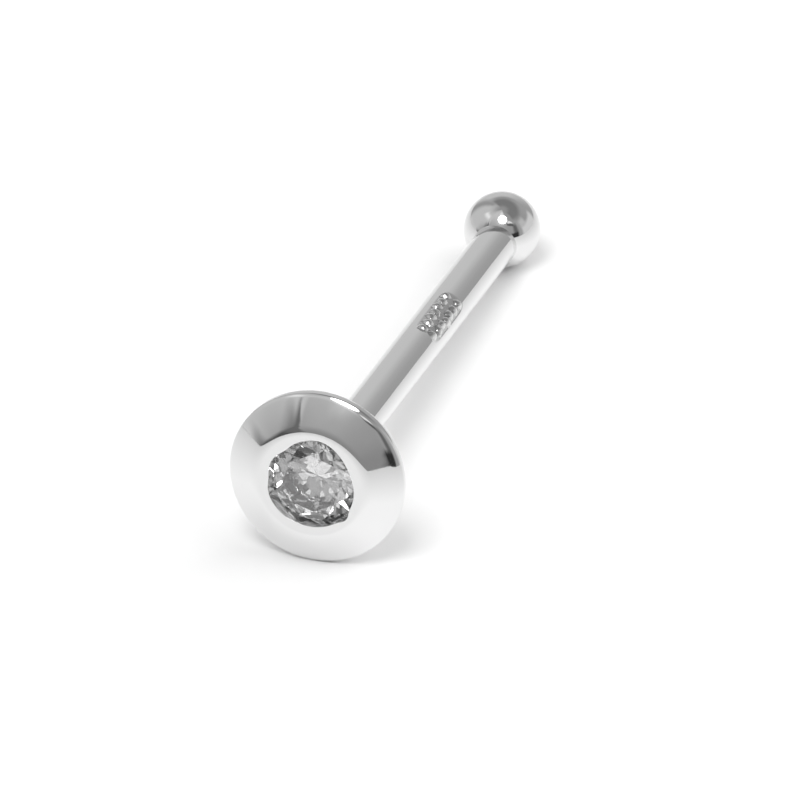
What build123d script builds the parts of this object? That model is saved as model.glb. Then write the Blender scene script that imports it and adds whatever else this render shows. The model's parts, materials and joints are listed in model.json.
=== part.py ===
"""Nose stud (nose bone): a domed bezel disc with a flush-set round brilliant, a straight post and a ball end.

The stud lies on a level surface, z = 0, on the rim of its disc and on its ball. The disc faces -Y and
tilts up a little, and the post runs to +Y. Millimetres, +Z up. The origin is under the middle of the stud.
"""
from build123d import *
from math import acos, atan, atan2, cos, degrees, hypot, pi, radians, sin, tan
import os

# Bezel disc. Heights are along the stud's axis, from the back edge of the rim's band, towards the face.
DISC_R = 1.05
LIP_R = 0.614  # outer edge of the flat lip, where the shoulder starts
SHOULDER_ROUND = 0.24
FLANK_START = 29.0  # degrees, the slope where the shoulder turns into the flank
FLANK_END = 34.0  # degrees, the slope where the flank turns into the brow over the rim
BROW_START_R = 0.955
BROW_END = 54.0  # degrees, the slope where the brow turns into the rim
RIM_ROUND = 0.04  # radius between the brow and the band
RIM_BAND = 0.02  # straight band round the rim
OPENING_R = 0.53
OPENING_FOOT_R = 0.505  # the opening narrows to this over the stone
BACK_ROUND = 0.15  # radius between the band and the underside
BACK_CONE = 15.0  # degrees, the underside's slope towards the post

# Post and ball end
POST_R = 0.2555  # 24 gauge wire
WEAR_LENGTH = 6.45  # clear post between the disc's back and the ball, about a quarter of an inch
BALL_R = 0.45
BALL_RISE = 0.036  # the ball is soldered a little off the post's axis, this far up as it lies
BALL_ASIDE = -0.031  # and this far along X

# Round brilliant, as shares of its diameter
STONE_R = 0.55
STONE_TURN = 5.0  # degrees, the first kite's turn from +X
TABLE_SHARE = 0.64
GIRDLE_SHARE = 0.03
STAR_REACH = 0.79  # radius of the stars' outer tips, as a share of the stone's radius
LOWER_REACH = 0.23  # radius where the lower girdle facets end, as a share of the stone's radius
CROWN_SLOPE = 34.5  # degrees, the kites
PAVILION_SLOPE = 40.8  # degrees, the mains
TABLE_BELOW_LIP = 0.05
SEAT_GAP = 0.03  # clearance between the stone and the metal
PILOT_R = 0.42  # drilled hole under the pavilion
PILOT_POINT = 59.0  # degrees, half the drill's point angle

# The front's arcs, from the lip to the rim's band: radius, and the slopes where each starts and ends
shoulder_end_r = LIP_R + SHOULDER_ROUND * sin(radians(FLANK_START))
brow_end_r = DISC_R - RIM_ROUND * (1 - sin(radians(BROW_END)))
flank_round = (BROW_START_R - shoulder_end_r) / (sin(radians(FLANK_END)) - sin(radians(FLANK_START)))
brow_round = (brow_end_r - BROW_START_R) / (sin(radians(BROW_END)) - sin(radians(FLANK_END)))
front_arcs = [
    (SHOULDER_ROUND, 0.0, FLANK_START),
    (flank_round, FLANK_START, FLANK_END),
    (brow_round, FLANK_END, BROW_END),
    (RIM_ROUND, BROW_END, 90.0),
]
lip_z = RIM_BAND + sum(radius * (cos(radians(first)) - cos(radians(last))) for radius, first, last in front_arcs)

# Where the underside's rounding turns into its cone, and where the cone meets the post
back_turn = radians(90 - BACK_CONE)
cone_r = DISC_R - BACK_ROUND + BACK_ROUND * cos(back_turn)
cone_z = -BACK_ROUND * sin(back_turn)
root_z = cone_z - (cone_r - POST_R) * tan(radians(BACK_CONE))
ball_z = root_z - WEAR_LENGTH - BALL_R

# The tilt at which the rim's back rounding and the ball both touch the surface:
# (disc arm + rise) cos(tilt) - length sin(tilt) = difference of the two contact radii
arm = DISC_R - BACK_ROUND + BALL_RISE
tilt = acos((BALL_R - BACK_ROUND) / hypot(arm, -ball_z)) - atan2(-ball_z, arm)

# The stud's axes as it lies: out of the face, and square to it in the upright plane
face = Vector(0, -cos(tilt), sin(tilt))
rise = Vector(0, sin(tilt), cos(tilt))

# The middle of the band's back edge, so that the stud touches z = 0 and its length is centred on y = 0
reach_front = LIP_R * sin(tilt) + (lip_z - SHOULDER_ROUND) * cos(tilt) + SHOULDER_ROUND
reach_back = -ball_z * cos(tilt) + BALL_RISE * sin(tilt) + BALL_R
rim_centre = Vector(0, (reach_front - reach_back) / 2, BACK_ROUND + (DISC_R - BACK_ROUND) * cos(tilt))

face_plane = Plane(rim_centre, x_dir=(1, 0, 0), z_dir=face)
section_plane = Plane(rim_centre, x_dir=(1, 0, 0), z_dir=-rise)  # its y runs along the stud's axis
stud_axis = Axis(rim_centre, face)
ball_centre = rim_centre + face * ball_z + rise * BALL_RISE + Vector(BALL_ASIDE, 0, 0)
ball_plane = Plane(ball_centre, x_dir=(1, 0, 0), z_dir=face)

# Heights of the stone and its seat
girdle = GIRDLE_SHARE * STONE_R  # half the girdle's thickness
crown = (1 - TABLE_SHARE) * STONE_R * tan(radians(CROWN_SLOPE))
stone_z = lip_z - TABLE_BELOW_LIP - crown - girdle  # the girdle's middle
seat_r = STONE_R + SEAT_GAP
seat_top = stone_z + girdle + 2 * SEAT_GAP
seat_bottom = stone_z - girdle - SEAT_GAP / 2
pilot_top = seat_bottom - (seat_r - PILOT_R) * tan(radians(PAVILION_SLOPE))
culet_z = stone_z - girdle - STONE_R * tan(radians(PAVILION_SLOPE))
pilot_tip = culet_z - 2 * SEAT_GAP
pilot_bottom = pilot_tip + PILOT_R / tan(radians(PILOT_POINT))


# Metal: disc and post turned in one, the seat drilled and cut, and the ball soldered on
with BuildPart() as stud:
    with BuildSketch(section_plane):
        with BuildLine():
            reach, height = LIP_R, lip_z
            for radius, first, last in front_arcs:
                middle = (reach - radius * sin(radians(first)), height - radius * cos(radians(first)))
                turn = CenterArc(middle, radius, 90 - first, first - last)
                reach, height = (turn @ 1).X, (turn @ 1).Y
            Line((DISC_R, 0), (DISC_R, RIM_BAND))
            Polyline(
                (LIP_R, lip_z),
                (OPENING_R, lip_z),
                (OPENING_FOOT_R, seat_top),
                (0, seat_top),
                (0, ball_z),
                (POST_R, ball_z),
                (POST_R, root_z),
                (cone_r, cone_z),
            )
            CenterArc((DISC_R - BACK_ROUND, 0), BACK_ROUND, -degrees(back_turn), degrees(back_turn))
        make_face()
    revolve(axis=stud_axis)
    with BuildSketch(section_plane):
        with BuildLine():
            Polyline(
                (0, seat_top),
                (seat_r, seat_top),
                (seat_r, seat_bottom),
                (PILOT_R, pilot_top),
                (PILOT_R, pilot_bottom),
                (0, pilot_tip),
                close=True,
            )
        make_face()
    revolve(axis=stud_axis, mode=Mode.SUBTRACT)
    with Locations(ball_plane):
        Sphere(BALL_R)
stud.part.label = "stud"


def facet(turn, reach, height, slope):
    """The plane of one facet: its turn about the stone's axis, a point on it and its slope, in degrees."""
    out = Vector(cos(radians(turn)), sin(radians(turn)), 0)
    point = out * reach + Vector(0, 0, height)
    normal = out * sin(radians(slope)) + Vector(0, 0, cos(radians(slope)))
    centre = face_plane.from_local_coords(Vector(0, 0, stone_z))
    seat = Plane(centre, x_dir=(1, 0, 0), z_dir=face)
    return Plane(seat.from_local_coords(point), z_dir=seat.from_local_coords(normal) - centre)


# Heights over the girdle's middle, and the slopes that make neighbouring facets meet in points
EIGHTH = 360 / 8
table_z = girdle + crown
star_tip = girdle + (STONE_R - STAR_REACH * STONE_R * cos(pi / 8)) * tan(radians(CROWN_SLOPE))
lower_tip = girdle + (STONE_R - LOWER_REACH * STONE_R * cos(pi / 8)) * tan(radians(PAVILION_SLOPE))
table_edge = TABLE_SHARE * STONE_R * cos(pi / 8)
chord = STONE_R * cos(pi / 16)  # the girdle facets' distance from the axis, where they meet the girdle
star_slope = degrees(atan((table_z - star_tip) / (STAR_REACH * STONE_R - table_edge)))
upper_slope = degrees(atan((star_tip - girdle) / (chord * (1 - STAR_REACH))))
lower_slope = degrees(atan((lower_tip - girdle) / (chord * (1 - LOWER_REACH))))

# Facets in the order they are ground: number, first turn, point on the facet (radius, height), slope
facets = [
    (8, 0, STONE_R, girdle, CROWN_SLOPE),  # kites
    (8, EIGHTH / 2, table_edge, table_z, star_slope),  # stars
    (16, EIGHTH / 4, chord, girdle, upper_slope),  # upper girdle
    (8, 0, STONE_R, -girdle, 180 - PAVILION_SLOPE),  # pavilion mains
    (16, EIGHTH / 4, chord, -girdle, 180 - lower_slope),  # lower girdle
]

# Stone: a round blank, ground flat facet by facet
with BuildPart() as stone:
    with BuildSketch(face_plane.offset(stone_z + table_z)):
        Circle(STONE_R)
    extrude(amount=-(stone_z + table_z - culet_z))
    for number, first_turn, reach, height, slope in facets:
        for index in range(number):
            turn = STONE_TURN + first_turn + index * 360 / number
            split(bisect_by=facet(turn, reach, height, slope), keep=Keep.BOTTOM)
stone.part.label = "stone"


os.makedirs("parts", exist_ok=True)
export_step(stud.part, "parts/stud.step")
export_step(stone.part, "parts/stone.step")

print(f"tilt {degrees(tilt):.2f} deg, stud {stud.part.volume:.3f} mm3, stone {stone.part.volume:.3f} mm3")
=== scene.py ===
"""Looks of the nose stud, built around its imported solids.

The stud is a nose bone: a domed bezel disc with a round brilliant, a straight post and a ball end, in
rhodium plated white gold. Both pieces are modelled in millimetres on the stud's own axes (x across the
disc, y up the disc, z out of its face, from the middle of the rim) and are placed in metres at the end.
"""

import json
from math import cos, pi, radians, sin, tan

import bpy
import numpy as np
from mathutils import Matrix, Vector


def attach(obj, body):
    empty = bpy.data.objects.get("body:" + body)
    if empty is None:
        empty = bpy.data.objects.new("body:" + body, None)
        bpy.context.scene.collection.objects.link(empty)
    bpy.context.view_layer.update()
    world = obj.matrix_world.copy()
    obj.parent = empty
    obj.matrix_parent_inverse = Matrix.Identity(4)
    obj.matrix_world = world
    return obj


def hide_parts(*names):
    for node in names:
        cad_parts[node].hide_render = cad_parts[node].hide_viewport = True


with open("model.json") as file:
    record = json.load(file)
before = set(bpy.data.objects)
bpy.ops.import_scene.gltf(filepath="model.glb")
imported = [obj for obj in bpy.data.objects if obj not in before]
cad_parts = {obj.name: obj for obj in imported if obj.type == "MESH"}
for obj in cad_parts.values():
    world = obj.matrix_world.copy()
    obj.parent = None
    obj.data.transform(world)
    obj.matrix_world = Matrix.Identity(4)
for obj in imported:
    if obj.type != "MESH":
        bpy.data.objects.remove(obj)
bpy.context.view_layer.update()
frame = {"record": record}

MM = 0.001  # metres

# Bezel disc, in millimetres. Heights are from the back edge of the rim's band, towards the face.
DISC_R = 1.05
LIP_R = 0.614
SHOULDER_ROUND = 0.24
FLANK_START = 29.0  # degrees, the slope where the shoulder turns into the flank
BROW_END = 54.0  # degrees, the slope where the brow over the rim turns into the rim
RIM_BAND = 0.02
OPENING_R = 0.53
OPENING_FOOT_R = 0.505
LIP_ROUND = 0.004  # the opening's burnished edge
BACK_ROUND = 0.15
BACK_CONE = 15.0  # degrees

# Polishing by hand left the brow crisp in some places and soft in others: radius where it starts, the
# flank's slope there (degrees) and the rim's round
CRISP_BROW = (1.015, 34.5, 0.03)
SOFT_BROW = (0.955, 34.0, 0.04)
SOFT_TURN = 20.0  # degrees round the disc from x, where it is softest
SOFT_SPREAD = 45.0  # degrees to each side

# Where the burnished edge of the opening wanders: turn round the stone and spread (degrees), reach (mm)
EDGE_WANDER = [
    (78, 24, 0.045),
    (178, 13, -0.025),
    (130, 14, -0.03),
    (-40, 9, 0.04),
    (-100, 34, -0.015),
    (22, 24, -0.018),
]

# Post and ball end
POST_R = 0.2555
BALL_R = 0.45
BALL_RISE = 0.036  # the ball sits this far off the post's axis, up the disc
BALL_ASIDE = -0.031  # and this far across it
ROOT_SOLDER = 0.16  # reach of the solder where the post meets the disc
JOINT_EDGE = 0.004  # rings this close keep the corner between post and ball crisp

# Round brilliant: lengths in millimetres, shares and reaches as parts of its radius, slopes in degrees
STONE_R = 0.55
STONE_TURN = 5.0  # degrees, the first kite's turn from x
TABLE_SHARE = 0.64
GIRDLE_SHARE = 0.03
STAR_REACH = 0.79
LOWER_REACH = 0.23
CROWN_SLOPE = 34.5
PAVILION_SLOPE = 40.8
TABLE_BELOW_LIP = 0.05
BEARING_GAP = 0.006  # between the stone and the metal burnished onto it
PILOT_R = 0.42  # drilled hole under the stone
PILOT_POINT = 59.0  # degrees, half of the drill's point
PILOT_BELOW = 0.06  # how far the hole goes on under the stone

# Punched panel on the post: rows of small round bosses in a shallow sunken field, in millimetres
PANEL = {
    "Middle": -4.29,  # height on the stud's axis
    "Turn": radians(57.4),  # round the post, from x
    "Length": 1.08,
    "Width": 0.34,
    "Field Depth": 0.006,
    "Rows": 2,
    "Bosses": 7,
    "Boss Radius": 0.072,
    "Boss Height": 0.044,
    "Scatter": 0.022,
    "Seed": 7,
}
PANEL_GROUND = 0.56  # the finer rings reach this share of the panel's length to each side of its middle
GRID_LENGTH = 0.86  # the bosses' grid, as shares of the field's length and width
GRID_WIDTH = 0.48
OUTLINE = 9.0  # per millimetre, the places where a boss's outline goes in or out
OUTLINE_FALL = (0.3, 1.4)  # how fast a boss falls away at the least, and what unevenness adds to that

# Finish of the metal, its depths in millimetres
WHEEL_HAZE = (0.03, 0.07)  # least and most roughness that the polishing wheel leaves
PUNCHED_ROUGHNESS = 0.2  # the wheel doesn't reach into the field
HAIRLINES = 5.0  # per millimetre along their length
HAIRLINE_DRAW = 14.0  # times closer together than they are long
HAIRLINE_DEPTH = 0.00006
WAVES = 1.3  # per millimetre
WAVE_DEPTH = 0.004

CLARITY = (0.98, 0.92)  # share of the light that goes through the stone, where it is clear and in a cloud
CLOUDS = 3.0  # per millimetre

# Camera and its view of the stud
VIEW_TURN = 17.49  # degrees
VIEW_HEIGHT = 29.43
VIEW_DISTANCE = 0.33  # metres
VIEW_WIDTH = 0.00919  # metres across the view, at the stud
AIM_RIGHT = 0.9411  # of the view's middle, from the middle of the disc, millimetres
AIM_UP = 0.8649
SENSOR = 36.0  # millimetres

# Round lamps: turn from the camera and height over the floor (degrees), distance and radius (metres) and
# radiance. The key and the fill light the floor; the face is the lamp that the metal and the stone show.
KEY = (-25.0, 58.0, 0.8, 0.21, 6.3)
FILL = (95.0, 50.0, 0.8, 0.56, 1.3)
FACE = (9.5, 66.2, 0.0205, 0.0048, 5.0)

FLOOR_REACH = 1.5  # metres

# Points round the stud, and rings along the post, through its panel, to its end and over the ball
ROUND_STEPS = 240
POST_RINGS = 24
PANEL_RINGS = 110
END_RINGS = 18
BALL_RINGS = 72
CORNER = 40.0  # degrees; a sharper corner of the metal stays crisp


def front_arcs(brow_start, flank_end, rim_round):
    """The front's arcs, from the lip to the rim: radius, slopes where it starts and ends, and steps."""
    shoulder_end = LIP_R + SHOULDER_ROUND * sin(radians(FLANK_START))
    brow_end = DISC_R - rim_round * (1 - sin(radians(BROW_END)))
    flank_round = (brow_start - shoulder_end) / (sin(radians(flank_end)) - sin(radians(FLANK_START)))
    brow_round = (brow_end - brow_start) / (sin(radians(BROW_END)) - sin(radians(flank_end)))
    return [
        (SHOULDER_ROUND, 0.0, FLANK_START, 16),
        (flank_round, FLANK_START, flank_end, 12),
        (brow_round, flank_end, BROW_END, 12),
        (rim_round, BROW_END, 90.0, 8),
    ]


# Heights that follow from the sizes above
soft_arcs = front_arcs(*SOFT_BROW)
lip_z = RIM_BAND + sum(radius * (cos(radians(a)) - cos(radians(b))) for radius, a, b, _ in soft_arcs)
back_turn = radians(90 - BACK_CONE)
cone_r = DISC_R - BACK_ROUND + BACK_ROUND * cos(back_turn)
cone_z = -BACK_ROUND * sin(back_turn)
root_z = cone_z - (cone_r - POST_R) * tan(radians(BACK_CONE))
girdle = GIRDLE_SHARE * STONE_R
crown = (1 - TABLE_SHARE) * STONE_R * tan(radians(CROWN_SLOPE))
stone_z = lip_z - TABLE_BELOW_LIP - crown - girdle
culet_z = stone_z - girdle - STONE_R * tan(radians(PAVILION_SLOPE))

# The stud's axes, from the mount that its post makes
post = next(mount for mount in frame["record"]["mounts"] if mount["name"] == "post")
face = -Vector(post["axis"]).normalized()
across = Vector((1, 0, 0))
rise = face.cross(across)
wear_length = post["dims"]["length_mm"]
ball_z = root_z - wear_length - BALL_R
rim_centre = Vector(post["pos_m"]) + face * (wear_length / 2 - root_z) * MM
facing = Matrix((across, rise, face)).transposed().to_4x4()
placed = Matrix.Translation(rim_centre) @ facing @ Matrix.Scale(MM, 4)


def colour(code):
    """Linear colour of an sRGB hex code such as "E8E8E8"."""
    parts = [int(code[i : i + 2], 16) / 255 for i in (0, 2, 4)]
    linear = [p / 12.92 if p <= 0.04045 else ((p + 0.055) / 1.055) ** 2.4 for p in parts]
    return (*linear, 1.0)


def add(tree, kind, inputs=(), **settings):
    """A new node of that kind, with its settings, and its inputs set to a value or linked to an output."""
    made = tree.nodes.new(kind)
    for name, value in settings.items():
        setattr(made, name, value)
    for key, value in dict(inputs).items():
        if isinstance(value, bpy.types.NodeSocket):
            tree.links.new(value, made.inputs[key])
        else:
            made.inputs[key].default_value = value
    return made


def maths(tree, operation, *values):
    """The result of a Math node on those values."""
    return add(tree, "ShaderNodeMath", dict(enumerate(values)), operation=operation).outputs[0]


def scaled(tree, vector, scale):
    """A vector made longer or shorter."""
    return add(tree, "ShaderNodeVectorMath", {0: vector, "Scale": scale}, operation="SCALE").outputs[0]


def noise(tree, place, scale, detail):
    """Noise between 0 and 1, with that many of its largest grains to one unit of the place."""
    return add(tree, "ShaderNodeTexNoise", {"Vector": place, "Scale": scale, "Detail": detail}).outputs["Fac"]


def mesh_piece(name, points, faces):
    """A mesh object from its points and faces."""
    mesh = bpy.data.meshes.new(name)
    mesh.from_pydata([tuple(p) for p in points], [], faces)
    mesh.validate()
    piece = bpy.data.objects.new(name, mesh)
    bpy.context.scene.collection.objects.link(piece)
    return piece


# ---------------------------------------------------------------------------------------------- metal


def arc(centre, radius, start, end, steps):
    """Points (radius, height) of an arc in the turned section, angles in degrees."""
    turns = np.radians(np.linspace(start, end, steps))
    return [(centre[0] + radius * cos(t), centre[1] + radius * sin(t)) for t in turns]


def line(start, end, steps):
    """Points of a straight run in the turned section, without its first point."""
    shares = np.linspace(0, 1, steps + 1)[1:]
    return [(start[0] + (end[0] - start[0]) * s, start[1] + (end[1] - start[1]) * s) for s in shares]


def bend(start, corner, end, steps):
    """Points of a soft corner: a curve from start to end that leans to the corner, ends left out."""
    shares = np.linspace(0, 1, steps + 2)[1:-1]
    start, corner, end = (np.asarray(p, float) for p in (start, corner, end))
    return [(1 - s) ** 2 * start + 2 * s * (1 - s) * corner + s**2 * end for s in shares]


def seat_section():
    """Section of the drilled seat, from the drill's tip to the foot of the opening's wall."""
    slope = tan(radians(PAVILION_SLOPE))
    seat_r = STONE_R + BEARING_GAP
    seat_bottom = stone_z - girdle - BEARING_GAP
    pilot_top = seat_bottom - (seat_r - PILOT_R) * slope
    pilot_tip = culet_z - PILOT_BELOW
    pilot_bottom = pilot_tip + PILOT_R / tan(radians(PILOT_POINT))
    first_ring = 0.02
    ledge = stone_z + girdle + BEARING_GAP
    foot = ledge + (STONE_R - OPENING_FOOT_R) * tan(radians(CROWN_SLOPE))
    corners = [
        (first_ring, pilot_tip + first_ring / tan(radians(PILOT_POINT))),
        (PILOT_R, pilot_bottom),
        (PILOT_R, pilot_top),
        (seat_r, seat_bottom),
        (seat_r, ledge),
        (OPENING_FOOT_R, foot),
    ]
    section = [corners[0]]
    for start, end in zip(corners, corners[1:]):
        section += line(start, end, 4)
    return pilot_tip, section


def disc_section(foot, arcs):
    """Section of the disc from the opening's foot over the lip, the front's arcs and the rim to the root."""
    lip = arc((OPENING_R + LIP_ROUND, lip_z - LIP_ROUND), LIP_ROUND, 180, 90, 8)
    front = lip + line(lip[-1], (LIP_R, lip_z), 5)
    for radius, first, last, steps in arcs:
        reach, height = front[-1]
        middle = (reach - radius * sin(radians(first)), height - radius * cos(radians(first)))
        front += arc(middle, radius, 90 - first, 90 - last, steps)[1:]
    back_rim = arc((DISC_R - BACK_ROUND, 0), BACK_ROUND, 0, BACK_CONE - 90, 24)
    cone = radians(BACK_CONE)
    start = (POST_R + ROOT_SOLDER * cos(cone), root_z + ROOT_SOLDER * sin(cone))
    end = (POST_R, root_z - ROOT_SOLDER)
    back = line(back_rim[-1], start, 10) + bend(start, (POST_R, root_z), end, 12) + [end]
    return line(foot, lip[0], 5)[:-1] + front + back_rim + back


def post_heights():
    """Heights of the rings along the post, close together where it is punched."""
    panel_start = PANEL["Middle"] + PANEL["Length"] * PANEL_GROUND
    panel_end = PANEL["Middle"] - PANEL["Length"] * PANEL_GROUND
    plain = np.linspace(root_z - ROOT_SOLDER, panel_start, POST_RINGS)[1:]
    punched = np.linspace(panel_start, panel_end, PANEL_RINGS)[1:]
    return [*plain, *punched, *np.linspace(panel_end, ball_z + BALL_R, END_RINGS)[1:]]


def near(turns, turn, spread):
    """A bell round one turn, 1 at its top, at each of those turns."""
    off = (np.degrees(turns) - turn + 180) % 360 - 180
    return np.exp(-((off / spread) ** 2))


def edge_wander(turns):
    """How far the opening's edge is off its circle at those turns."""
    return sum(reach * near(turns, turn, spread) for turn, spread, reach in EDGE_WANDER)


def turned_rings():
    """Rings of points of the whole metal, from the drill's tip to the far end of the ball."""
    turns = np.linspace(0, 2 * pi, ROUND_STEPS, endpoint=False)
    ring_x, ring_y = np.cos(turns), np.sin(turns)
    pilot_tip, seat = seat_section()
    rings = []
    wander = edge_wander(turns)
    softness = near(turns, SOFT_TURN, SOFT_SPREAD)
    crisp = np.array(seat + disc_section(seat[-1], front_arcs(*CRISP_BROW)))
    soft = np.array(seat + disc_section(seat[-1], soft_arcs))
    for (radius, height), (more_radius, more_height) in zip(crisp, soft - crisp):
        share = np.interp(height, [stone_z + girdle, seat[-1][1]], [0, 1])
        share *= np.interp(radius, [OPENING_R + LIP_ROUND, LIP_R], [1, 0])
        real = radius + more_radius * softness + share * wander
        rings.append(np.stack([real * ring_x, real * ring_y, height + more_height * softness], 1))
    for height in post_heights():
        rings.append(np.stack([POST_R * ring_x, POST_R * ring_y, np.full(ROUND_STEPS, height)], 1))

    # Where the post runs into the ball, which sits off its axis, and the ball's own rings beyond
    ball_middle = np.array([BALL_ASIDE, BALL_RISE, ball_z])
    aside, above = POST_R * ring_x - BALL_ASIDE, POST_R * ring_y - BALL_RISE
    joint_z = ball_z + np.sqrt(BALL_R**2 - aside**2 - above**2)
    joint = np.stack([POST_R * ring_x, POST_R * ring_y, joint_z], 1)
    towards = (joint - ball_middle) / BALL_R
    pole = np.array([0, 0, -1.0])
    reach = np.arccos(towards @ pole)[:, None]

    def on_ball(share):
        way = np.sin((1 - share) * reach) * towards + np.sin(share * reach) * pole
        return ball_middle + BALL_R * way / np.sin(reach)

    rings += [joint + [0, 0, JOINT_EDGE], joint, on_ball(JOINT_EDGE)]
    rings += [on_ball(share) for share in np.linspace(0, 1, BALL_RINGS, endpoint=False)[1:]]
    return (0, 0, pilot_tip), rings, tuple(ball_middle + BALL_R * pole)


def skin(first_tip, rings, last_tip):
    """Points and faces of a closed skin over the rings and the two tips."""
    n = ROUND_STEPS
    points = np.concatenate([[first_tip], *rings, [last_tip]])
    following = (np.arange(n) + 1) % n
    faces = [(0, 1 + int(j), 1 + i) for i, j in enumerate(following)]
    for row in range(len(rings) - 1):
        base = 1 + row * n
        faces += [(base + i, base + int(j), base + n + int(j), base + n + i) for i, j in enumerate(following)]
    base = 1 + (len(rings) - 1) * n
    faces += [(base + i, base + int(j), len(points) - 1) for i, j in enumerate(following)]
    return points, faces


def make_stud():
    """The metal: disc, post and ball, turned and soldered into one."""
    points, faces = skin(*turned_rings())
    return mesh_piece("stud_metal", points, faces)


# ---------------------------------------------------------------------------------------------- stone


def stone_wedge():
    """Points and faces of one eighth of the brilliant: a kite and what it meets, in its own axes."""
    eighth = pi / 4

    def spot(radius, turn, height):
        return (radius * cos(turn * eighth), radius * sin(turn * eighth), height)

    half = cos(pi / 8)
    table_z = girdle + crown
    star_z = girdle + (1 - STAR_REACH * half) * STONE_R * tan(radians(CROWN_SLOPE))
    lower_z = -girdle - (1 - LOWER_REACH * half) * STONE_R * tan(radians(PAVILION_SLOPE))
    names = {
        "middle": (0, 0, table_z),
        "table": spot(TABLE_SHARE * STONE_R, 0, table_z),
        "next_table": spot(TABLE_SHARE * STONE_R, 1, table_z),
        "star_before": spot(STAR_REACH * STONE_R, -0.5, star_z),
        "star": spot(STAR_REACH * STONE_R, 0.5, star_z),
        "girdle": spot(STONE_R, 0, girdle),
        "half_girdle": spot(STONE_R, 0.5, girdle),
        "next_girdle": spot(STONE_R, 1, girdle),
        "low_girdle": spot(STONE_R, 0, -girdle),
        "low_half": spot(STONE_R, 0.5, -girdle),
        "low_next": spot(STONE_R, 1, -girdle),
        "lower_before": spot(LOWER_REACH * STONE_R, -0.5, lower_z),
        "lower": spot(LOWER_REACH * STONE_R, 0.5, lower_z),
        "culet": (0, 0, -girdle - STONE_R * tan(radians(PAVILION_SLOPE))),
    }
    facets = [
        ("middle", "table", "next_table"),
        ("table", "star_before", "girdle", "star"),
        ("table", "star", "next_table"),
        ("star", "girdle", "half_girdle"),
        ("star", "half_girdle", "next_girdle"),
        ("girdle", "low_girdle", "low_half", "half_girdle"),
        ("half_girdle", "low_half", "low_next", "next_girdle"),
        ("lower", "low_half", "low_girdle"),
        ("lower", "low_next", "low_half"),
        ("culet", "lower", "low_girdle", "lower_before"),
    ]
    order = list(names)
    return list(names.values()), [tuple(order.index(n) for n in facet) for facet in facets]


def node_group(name, sockets):
    """An empty Geometry Nodes tree with a geometry in and out, and named inputs with their defaults."""
    tree = bpy.data.node_groups.new(name, "GeometryNodeTree")
    tree.interface.new_socket("Geometry", in_out="OUTPUT", socket_type="NodeSocketGeometry")
    tree.interface.new_socket("Geometry", in_out="INPUT", socket_type="NodeSocketGeometry")
    for label, kind, value in sockets:
        made = tree.interface.new_socket(label, in_out="INPUT", socket_type=kind)
        if value is not None:
            made.default_value = value
    return tree, add(tree, "NodeGroupInput").outputs


def grown(piece, tree, values):
    """Replaces the piece's mesh by what its Geometry Nodes tree makes with its inputs at those values."""
    modifier = piece.modifiers.new(tree.name, "NODES")
    modifier.node_group = tree
    for socket in tree.interface.items_tree:
        if socket.in_out == "INPUT" and socket.name in values:
            modifier[socket.identifier] = values[socket.name]
    depsgraph = bpy.context.evaluated_depsgraph_get()
    mesh = bpy.data.meshes.new_from_object(piece.evaluated_get(depsgraph), depsgraph=depsgraph)
    piece.modifiers.remove(modifier)
    piece.data = mesh


def finish_tree(tree, geometry):
    """Ends a tree: instances realized, the material set, and the result out."""
    real = add(tree, "GeometryNodeRealizeInstances", {"Geometry": geometry})
    given = next(n for n in tree.nodes if n.bl_idname == "NodeGroupInput").outputs["Material"]
    coated = add(tree, "GeometryNodeSetMaterial", {"Geometry": real.outputs[0], "Material": given})
    add(tree, "NodeGroupOutput", {0: coated.outputs[0]})


def make_stone(material):
    """The round brilliant: its eighth turned eight times and joined."""
    sockets = [
        ("Count", "NodeSocketInt", 8),
        ("First Turn", "NodeSocketFloat", 0.0),
        ("Height", "NodeSocketFloat", 0.0),
        ("Material", "NodeSocketMaterial", None),
    ]
    tree, given = node_group("brilliant_cut", sockets)
    places = add(tree, "GeometryNodePoints", {"Count": given["Count"]})
    index = add(tree, "GeometryNodeInputIndex").outputs[0]
    step = maths(tree, "DIVIDE", 2 * pi, given["Count"])
    turn = maths(tree, "MULTIPLY_ADD", index, step, given["First Turn"])
    angles = add(tree, "ShaderNodeCombineXYZ", {"Z": turn}).outputs[0]
    turned = {"Points": places.outputs[0], "Instance": given["Geometry"], "Rotation": angles}
    wedges = add(tree, "GeometryNodeInstanceOnPoints", turned)
    real = add(tree, "GeometryNodeRealizeInstances", {"Geometry": wedges.outputs[0]})
    joined = add(tree, "GeometryNodeMergeByDistance", {"Geometry": real.outputs[0], "Distance": 1e-5})
    lift = add(tree, "ShaderNodeCombineXYZ", {"Z": given["Height"]}).outputs[0]
    lifted = add(tree, "GeometryNodeSetPosition", {"Geometry": joined.outputs[0], "Offset": lift})
    finish_tree(tree, lifted.outputs[0])
    stone = mesh_piece("brilliant", *stone_wedge())
    values = {"Count": 8, "First Turn": radians(STONE_TURN), "Height": stone_z, "Material": material}
    grown(stone, tree, values)
    return stone


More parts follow.
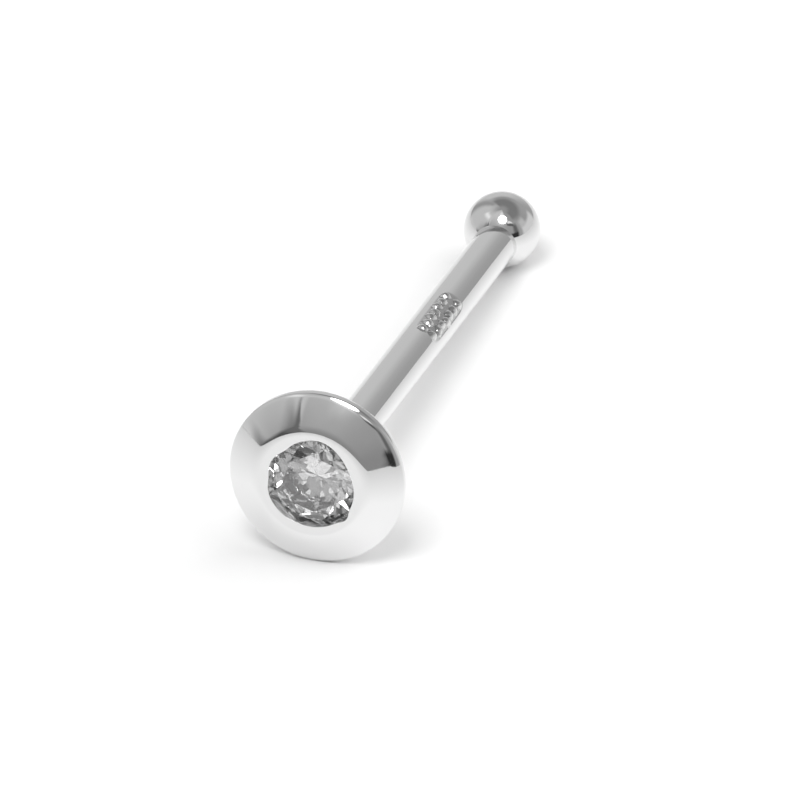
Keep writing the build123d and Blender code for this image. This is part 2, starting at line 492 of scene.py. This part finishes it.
def punch_panel(stud, material):
    """Sinks the panel's field into the post and raises its bosses, and marks the field for its rougher finish
    and for painted shade round the bosses.
    """
    kinds = {int: "NodeSocketInt", float: "NodeSocketFloat"}
    sockets = [(name, kinds[type(value)], value) for name, value in PANEL.items()]
    sockets += [("Post Radius", "NodeSocketFloat", POST_R), ("Material", "NodeSocketMaterial", None)]
    tree, given = node_group("punched_panel", sockets)

    # Where each point is on the panel: along the post and round it
    spot = add(tree, "GeometryNodeInputPosition").outputs[0]
    x, y, z = add(tree, "ShaderNodeSeparateXYZ", {0: spot}).outputs
    along = maths(tree, "SUBTRACT", z, given["Middle"])
    turn = maths(tree, "SUBTRACT", maths(tree, "ARCTAN2", y, x), given["Turn"])
    around = maths(tree, "MULTIPLY", maths(tree, "WRAP", turn, -pi, pi), given["Post Radius"])

    # The field, a rectangle with round corners
    edge = 0
    for off, size in ((along, given["Length"]), (around, given["Width"])):
        share = maths(tree, "DIVIDE", maths(tree, "ABSOLUTE", off), maths(tree, "MULTIPLY", size, 0.5))
        edge = maths(tree, "ADD", maths(tree, "POWER", share, 6.0), edge)
    fade = {"Value": edge, "From Min": 0.5, "From Max": 1.5, "To Min": 1.0, "To Max": 0.0}
    field = add(tree, "ShaderNodeMapRange", fade, interpolation_type="SMOOTHSTEP").outputs[0]

    # The bosses, on a grid that the hand didn't keep exactly
    grid = {
        "Size X": maths(tree, "MULTIPLY", given["Length"], GRID_LENGTH),
        "Size Y": maths(tree, "MULTIPLY", given["Width"], GRID_WIDTH),
        "Vertices X": given["Bosses"],
        "Vertices Y": given["Rows"],
    }
    places = add(tree, "GeometryNodeMeshGrid", grid).outputs["Mesh"]
    slip = {0: (-1, -1, 0), 1: (1, 1, 0), "Seed": given["Seed"]}
    slip = add(tree, "FunctionNodeRandomValue", slip, data_type="FLOAT_VECTOR").outputs[0]
    slip = scaled(tree, slip, given["Scatter"])
    places = add(tree, "GeometryNodeSetPosition", {"Geometry": places, "Offset": slip}).outputs[0]
    here = add(tree, "ShaderNodeCombineXYZ", {"X": along, "Y": around}).outputs[0]
    nearest = {"Geometry": places, "Sample Position": here}
    nearest = add(tree, "GeometryNodeProximity", nearest, target_element="POINTS").outputs["Distance"]
    uneven = maths(tree, "MULTIPLY_ADD", noise(tree, here, OUTLINE, 2.0), OUTLINE_FALL[1], OUTLINE_FALL[0])
    reach = maths(tree, "MULTIPLY", maths(tree, "DIVIDE", nearest, given["Boss Radius"]), uneven)
    boss = maths(tree, "MAXIMUM", maths(tree, "SUBTRACT", 1.0, maths(tree, "MULTIPLY", reach, reach)), 0.0)
    boss = maths(tree, "MULTIPLY", boss, field)

    # The surface moves in and out, straight from the post's axis
    up = maths(tree, "MULTIPLY", boss, given["Boss Height"])
    lift = maths(tree, "SUBTRACT", up, maths(tree, "MULTIPLY", field, given["Field Depth"]))
    out = add(tree, "ShaderNodeCombineXYZ", {"X": x, "Y": y}).outputs[0]
    out = add(tree, "ShaderNodeVectorMath", {0: out}, operation="NORMALIZE").outputs[0]
    moved = {"Geometry": given["Geometry"], "Offset": scaled(tree, out, lift)}
    punched = add(tree, "GeometryNodeSetPosition", moved).outputs[0]
    # Painted shade: the sunken field, less the bosses, is painted a darker grey
    painted_field_shade = maths(tree, "SUBTRACT", field, boss)
    for name, value in (("punched", field), ("painted_field_shade", painted_field_shade)):
        stored = {"Geometry": punched, "Name": name, "Value": value}
        punched = add(tree, "GeometryNodeStoreNamedAttribute", stored).outputs[0]
    finish_tree(tree, punched)
    grown(stud, tree, {**PANEL, "Post Radius": POST_R, "Material": material})


# ---------------------------------------------------------------------------------------------- finishes


def new_material(name):
    """A material with an empty node tree and a Principled shader at its end."""
    material = bpy.data.materials.new(name)
    material.use_nodes = True
    tree = material.node_tree
    tree.nodes.clear()
    shader = add(tree, "ShaderNodeBsdfPrincipled")
    add(tree, "ShaderNodeOutputMaterial", {"Surface": shader.outputs[0]})
    return material, tree, shader


def in_mm(tree):
    """Object coordinates in millimetres, from the middle of the disc."""
    place = {
        "Vector": add(tree, "ShaderNodeTexCoord").outputs["Object"],
        "Location": tuple(-rim_centre / MM),
        "Scale": (1 / MM,) * 3,
    }
    return add(tree, "ShaderNodeMapping", place).outputs[0]


def noise_between(tree, grey, low, high):
    """A noise's grey, stretched so that it runs from low to high."""
    stretch = {"Value": grey, "From Min": 0.3, "From Max": 0.7, "To Min": low, "To Max": high}
    return add(tree, "ShaderNodeMapRange", stretch).outputs[0]


def rhodium():
    """White gold with rhodium plating: neutral and near mirror bright, turned and drawn, then polished by
    hand on a felt wheel, which leaves faint waves and a soft haze of hairlines. The punched field, which the
    wheel doesn't reach, is rougher, and painted shade makes it greyer round the bosses."""
    material, tree, shader = new_material("rhodium_plated_white_gold")
    place = in_mm(tree)
    punched = add(tree, "ShaderNodeAttribute", attribute_name="punched").outputs["Fac"]
    painted_field_shade = add(tree, "ShaderNodeAttribute", attribute_name="painted_field_shade").outputs["Fac"]

    # Hairlines run across the post and the disc, so the noise is drawn out to lines
    drawn = {"Vector": place, "Scale": (1.0, HAIRLINE_DRAW, HAIRLINE_DRAW)}
    hairlines = noise(tree, add(tree, "ShaderNodeMapping", drawn).outputs[0], HAIRLINES, 4.0)
    haze = noise_between(tree, hairlines, *WHEEL_HAZE)
    rough = add(tree, "ShaderNodeMix", {0: punched, 2: haze, 3: PUNCHED_ROUGHNESS}).outputs[0]
    tree.links.new(rough, shader.inputs["Roughness"])

    # Painted shade: the sunken field round the bosses is painted darker grey (C8) than the polished metal
    # (E8)
    tint = {0: painted_field_shade, 6: colour("E8E8E8"), 7: colour("C8C8C8")}
    grey = add(tree, "ShaderNodeMix", tint, data_type="RGBA").outputs[2]
    tree.links.new(grey, shader.inputs["Base Color"])
    shader.inputs["Metallic"].default_value = 1.0

    waves = {"Strength": 1.0, "Distance": WAVE_DEPTH * MM, "Height": noise(tree, place, WAVES, 1.0)}
    waves = add(tree, "ShaderNodeBump", waves).outputs[0]
    lines = {"Strength": 1.0, "Distance": HAIRLINE_DEPTH * MM, "Height": hairlines, "Normal": waves}
    tree.links.new(add(tree, "ShaderNodeBump", lines).outputs[0], shader.inputs["Normal"])
    return material


def diamond():
    """A small commercial diamond: colourless, its facets polished bright, with faint clouds of inclusions."""
    material, tree, shader = new_material("polished_diamond")
    clear = noise_between(tree, noise(tree, in_mm(tree), CLOUDS, 5.0), *CLARITY)
    tree.links.new(clear, shader.inputs["Transmission Weight"])
    shader.inputs["Base Color"].default_value = colour("FCFCFC")
    shader.inputs["Roughness"].default_value = 0.0
    shader.inputs["IOR"].default_value = 2.417
    return material


# ---------------------------------------------------------------------------------------------- studio


def place_camera():
    """The camera, a long lens that looks down on the stud from the front and a little to its right."""
    turn, height = radians(VIEW_TURN), radians(VIEW_HEIGHT)
    back = Vector((sin(turn) * cos(height), -cos(turn) * cos(height), sin(height)))
    data = bpy.data.cameras.new("camera")
    data.sensor_width = SENSOR
    data.lens = SENSOR * VIEW_DISTANCE / VIEW_WIDTH
    data.clip_start = 0.001
    data.clip_end = 10
    camera = bpy.data.objects.new("camera", data)
    camera.rotation_mode = "QUATERNION"
    camera.rotation_quaternion = (-back).to_track_quat("-Z", "Y")
    right = Vector((cos(turn), sin(turn), 0))
    up = back.cross(right)
    aim = rim_centre + right * AIM_RIGHT * MM + up * AIM_UP * MM
    camera.location = aim + back * VIEW_DISTANCE
    bpy.context.scene.collection.objects.link(camera)
    bpy.context.scene.camera = camera


def lay_floor():
    """A plain floor of matt white paper, with painted shade that makes it greyer where it is seen at a low
    angle, as the metal sees the far floor.
    """
    reach = FLOOR_REACH
    corners = [(-reach, -reach, 0), (reach, -reach, 0), (reach, reach, 0), (-reach, reach, 0)]
    floor = mesh_piece("floor", corners, [(0, 1, 2, 3)])
    material, tree, shader = new_material("white_paper")
    shader.inputs["Roughness"].default_value = 0.9
    grazing = add(tree, "ShaderNodeLayerWeight", {"Blend": 0.5}).outputs["Facing"]
    # Painted shade: the lower the angle the paper is seen at, the greyer it is painted, so the metal shows
    # the far floor darker
    painted_grazing_shade = add(tree, "ShaderNodeMapRange", {"Value": grazing, "From Min": 0.5, "From Max": 1.0}).outputs[0]
    shade = {0: painted_grazing_shade, 6: colour("FFFFFF"), 7: colour("DADADA")}
    grey = add(tree, "ShaderNodeMix", shade, data_type="RGBA").outputs[2]
    tree.links.new(grey, shader.inputs["Base Color"])
    floor.data.materials.append(material)


# What stands round the stud, seen from it: turn from the camera to the right and height (degrees), half
# of its width and height, how much it falls per degree of turn, how soft its edges are, and its grey as
# the metal shows it
ROOM = [
    # turn, height, half width, half height, slant, softness, grey
    (0, 92, 180, 20, 0, 18, "8E"),  # ceiling
    (-95, 24, 60, 46, 0, 34, "BA"),  # left side
    (180, 6, 52, 26, 0, 14, "BC"),  # back
    (-142, 30, 10, 34, 0, 20, "90"),  # fold at the back left
    (128, 16, 27, 34, 0, 44, "98"),  # shade at the back right
    (130, 61, 78, 15, 0, 16, "76"),  # dark top of the back
    (-26, -6, 43, 27, 0, 44, "34"),  # shade into the fold at the front left
    (-55, 20, 8, 12, -0.6, 12, "72"),  # the fold
    (-7, 32, 43, 43, 0, 5, "92"),  # front
    (0, 0, 46, 16, 0, 20, "84"),  # its foot
    (-30, 70, 42, 26, 0, 50, "BE"),  # light over the front
    (-4, 64, 16, 16, 0, 20, "E4"),  # light round the lamp
    (-46, 3, 10, 22, -1.8, 5, "64"),  # the fold's edge
    (-46, -4, 10, 10, -0.8, 8, "48"),  # its foot
    (-66, 0, 20, 5, 0, 9, "52"),  # dark line along the floor
    (-104, 0, 22, 4, 0, 14, "C8"),  # pale foot of the left side
    (-80, 50, 16, 5, 0, 12, "E4"),  # gap in the cloth
    (50, 14, 16, 30, 0, 24, "98"),  # shade round the stand
    (96, 6, 30, 15, 0, 12, "C8"),  # right side
    (76, 28, 12, 10, 0, 14, "B4"),  # its top
    (45, 12, 7, 24, 0, 11, "60"),  # stand
    (39, 4, 12, 9, 0, 6, "2E"),  # its foot
    (31, 39, 12, 3, -0.3, 3, "58"),  # its arm
    (33, 46.5, 9, 3, -0.36, 3, "DC"),  # strip of light beside the lamp
]
ROOM_BASE = "919191"  # grey of the room where nothing stands
ROOM_GAIN = 1.24  # brighter than the greys by this, as the metal reflects about three quarters of the light
ROOM_WANDER = 6.0  # degrees between the least and the most that the edges wander


def hung(tree, below, seen, panel):
    """The room's grey with one more soft edged panel in front of it."""
    turn, height, half_width, half_height, slant, softness, grey = panel
    aside = maths(tree, "WRAP", maths(tree, "SUBTRACT", seen[0], turn), -180, 180)
    above = maths(tree, "SUBTRACT", seen[1], height)
    above = maths(tree, "SUBTRACT", above, maths(tree, "MULTIPLY", aside, slant))
    masks = []
    for off, half in ((aside, half_width), (above, half_height)):
        edge = {
            "Value": maths(tree, "ABSOLUTE", off),
            "From Min": half - softness / 2,
            "From Max": half + softness / 2,
            "To Min": 1.0,
            "To Max": 0.0,
        }
        masks.append(add(tree, "ShaderNodeMapRange", edge, interpolation_type="SMOOTHSTEP").outputs[0])
    mask = maths(tree, "MULTIPLY", *masks)
    return add(tree, "ShaderNodeMix", {0: mask, 2: below, 3: colour(grey * 3)[0]}).outputs[0]


def light_room():
    """A light tent round the stud: pale cloth walls with folds, a gap and the lamp's stand in front."""
    world = bpy.data.worlds.new("light_tent")
    bpy.context.scene.world = world
    world.use_nodes = True
    tree = world.node_tree
    tree.nodes.clear()
    around = add(tree, "ShaderNodeTexCoord").outputs["Generated"]
    turned = {"Vector": around, "Angle": -radians(VIEW_TURN)}
    turned = add(tree, "ShaderNodeVectorRotate", turned, rotation_type="Z_AXIS").outputs[0]
    wander = maths(tree, "MULTIPLY_ADD", noise(tree, around, 6.0, 3.0), ROOM_WANDER, -ROOM_WANDER / 2)
    x, y, z = add(tree, "ShaderNodeSeparateXYZ", {0: turned}).outputs
    turn = maths(tree, "DEGREES", maths(tree, "ARCTAN2", x, maths(tree, "MULTIPLY", y, -1.0)))
    height = maths(tree, "DEGREES", maths(tree, "ARCSINE", z))
    seen = (maths(tree, "ADD", turn, wander), maths(tree, "ADD", height, wander))
    grey = colour(ROOM_BASE)[0]
    for panel in ROOM:
        grey = hung(tree, grey, seen, panel)
    back = add(tree, "ShaderNodeBackground", {"Color": grey, "Strength": ROOM_GAIN})
    add(tree, "ShaderNodeOutputWorld", {"Surface": back.outputs[0]})


def hang_lamp(name, lamp, glossy):
    """A round lamp that faces the stud: it is either reflected, or lights what isn't glossy."""
    turn, height, distance, radius, radiance = lamp
    turn, height = radians(VIEW_TURN + turn), radians(height)
    towards = Vector((sin(turn) * cos(height), -cos(turn) * cos(height), sin(height)))
    light = bpy.data.lights.new(name, "AREA")
    light.shape = "DISK"
    light.size = 2 * radius
    light.energy = radiance * pi * pi * radius**2  # watts; a disc sends out pi times its radiance per area
    hung_lamp = bpy.data.objects.new(name, light)
    hung_lamp.location = towards * distance
    hung_lamp.rotation_mode = "QUATERNION"
    hung_lamp.rotation_quaternion = towards.to_track_quat("Z", "Y")
    hung_lamp.visible_glossy = glossy
    hung_lamp.visible_transmission = glossy
    hung_lamp.visible_diffuse = not glossy
    bpy.context.scene.collection.objects.link(hung_lamp)


metal = rhodium()
stud = make_stud()
punch_panel(stud, metal)
for polygon in stud.data.polygons:
    polygon.use_smooth = True
stud.data.set_sharp_from_angle(angle=radians(CORNER))
stone = make_stone(diamond())
for piece, node_name, slot in ((stud, "stud", "white_gold"), (stone, "stone", "stone")):
    piece.data.transform(placed)
    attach(piece, "root")
    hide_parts(node_name)

place_camera()
lay_floor()
light_room()
for name, lamp, glossy in (("key", KEY, False), ("fill", FILL, False), ("face", FACE, True)):
    hang_lamp(name, lamp, glossy)
bpy.context.scene.view_settings.view_transform = "Standard"
